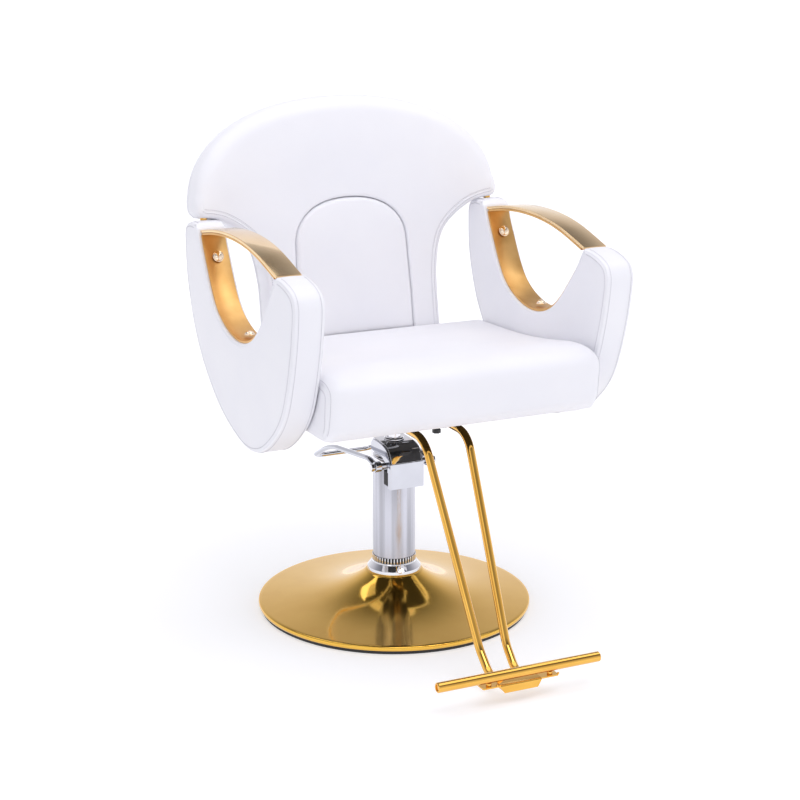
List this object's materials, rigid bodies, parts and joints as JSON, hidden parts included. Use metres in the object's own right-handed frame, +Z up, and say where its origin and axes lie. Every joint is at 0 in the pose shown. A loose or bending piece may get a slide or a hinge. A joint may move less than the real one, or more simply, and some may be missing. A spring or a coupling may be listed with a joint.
{
  "type": "salon styling chair",
  "caption": "Swivelling styling chair on a round pedestal with a hydraulic lift, foot pedal, winged back, slab arms with metal armrests and a bar footrest.",
  "frame": {"origin": "centre of the round base on the floor", "axes": "+Z up, the sitter faces -Y, +X is the sitter's left"},
  "size_m": [0.684, 0.852, 0.9998],
  "materials": {
    "polished_gold": "gold-coloured mirror plating on steel",
    "brushed_gold": "gold-coloured plating, brushed across",
    "chrome": "mirror chrome",
    "satin_chrome": "satin chrome tube",
    "steel": "zinc plated",
    "cast_iron": "as cast, painted dark",
    "black_rubber": "matt",
    "white_leather": "white synthetic leather with fine grain over foam",
    "plywood": "raw plywood"
  },
  "bodies": {
    "base": {"base_dome": "polished_gold", "base_edge_ring": "black_rubber", "base_weight_plate": "cast_iron", "column_collar": "chrome", "column_sleeve": "satin_chrome", "pump_body": "steel", "pump_gland": "steel", "pump_head": "chrome", "rod_seal_ring": "chrome", "head_front_cover": "chrome", "pedal_return_spring": "steel"},
    "pedal": {"pedal_shaft": "chrome", "pedal_loop": "chrome", "pedal_cam": "steel", "pedal_nut_left": "chrome", "pedal_nut_right": "chrome"},
    "plunger": {"pump_plunger": "steel"},
    "lift": {"piston_rod": "chrome", "piston": "steel", "piston_seal": "black_rubber", "swivel_bearing": "steel"},
    "seat": {"swivel_hub": "steel", "seat_mount_plate": "steel", "mount_bolt_1": "steel", "mount_bolt_2": "steel", "mount_bolt_3": "steel", "mount_bolt_4": "steel", "seat_front_bolt": "steel", "seat_board": "plywood", "seat_cushion": "white_leather", "back_shell": "white_leather", "back_inner_pad": "white_leather", "back_board": "plywood", "back_rear_cover": "white_leather", "back_bolt_1": "steel", "back_bolt_2": "steel", "back_bracket_left": "steel", "back_bracket_right": "steel", "arm_left": "white_leather", "arm_right": "white_leather", "arm_band_left": "brushed_gold", "arm_band_right": "brushed_gold", "armrest_left": "brushed_gold", "armrest_right": "brushed_gold", "band_bolt_left_1": "polished_gold", "band_bolt_left_2": "polished_gold", "band_bolt_right_1": "polished_gold", "band_bolt_right_2": "polished_gold", "arm_bolt_left_1": "steel", "arm_bolt_left_2": "steel", "arm_bolt_right_1": "steel", "arm_bolt_right_2": "steel", "wing_post_left": "polished_gold", "wing_post_right": "polished_gold", "footrest_rod_left": "polished_gold", "footrest_rod_right": "polished_gold", "footrest_bar": "polished_gold", "kick_plate": "polished_gold", "footrest_clamp": "steel", "footrest_bolt": "steel"}
  },
  "joints": [
    {"name": "seat_lift", "type": "slide", "parent": "base", "child": "lift", "axis": [0, 0, 1], "range_m": [0, 0.15]},
    {"name": "seat_swivel", "type": "hinge", "parent": "lift", "child": "seat", "pos_m": [0, 0, 0.43], "axis": [0, 0, 1], "continuous": true},
    {"name": "pedal_press", "type": "hinge", "parent": "base", "child": "pedal", "pos_m": [0, -0.04, 0.307], "axis": [1, 0, 0], "range_deg": [-18, 7], "stiffness_Nm_per_rad": 20, "springref_deg": 3.44},
    {"name": "plunger_stroke", "type": "slide", "parent": "base", "child": "plunger", "axis": [0, 0, 1], "range_m": [-0.0055, 0.0025]}
  ],
  "couplings": [
    {"joint": "plunger_stroke", "follows": "pedal_press", "m_per_rad": 0.0155}
  ]
}
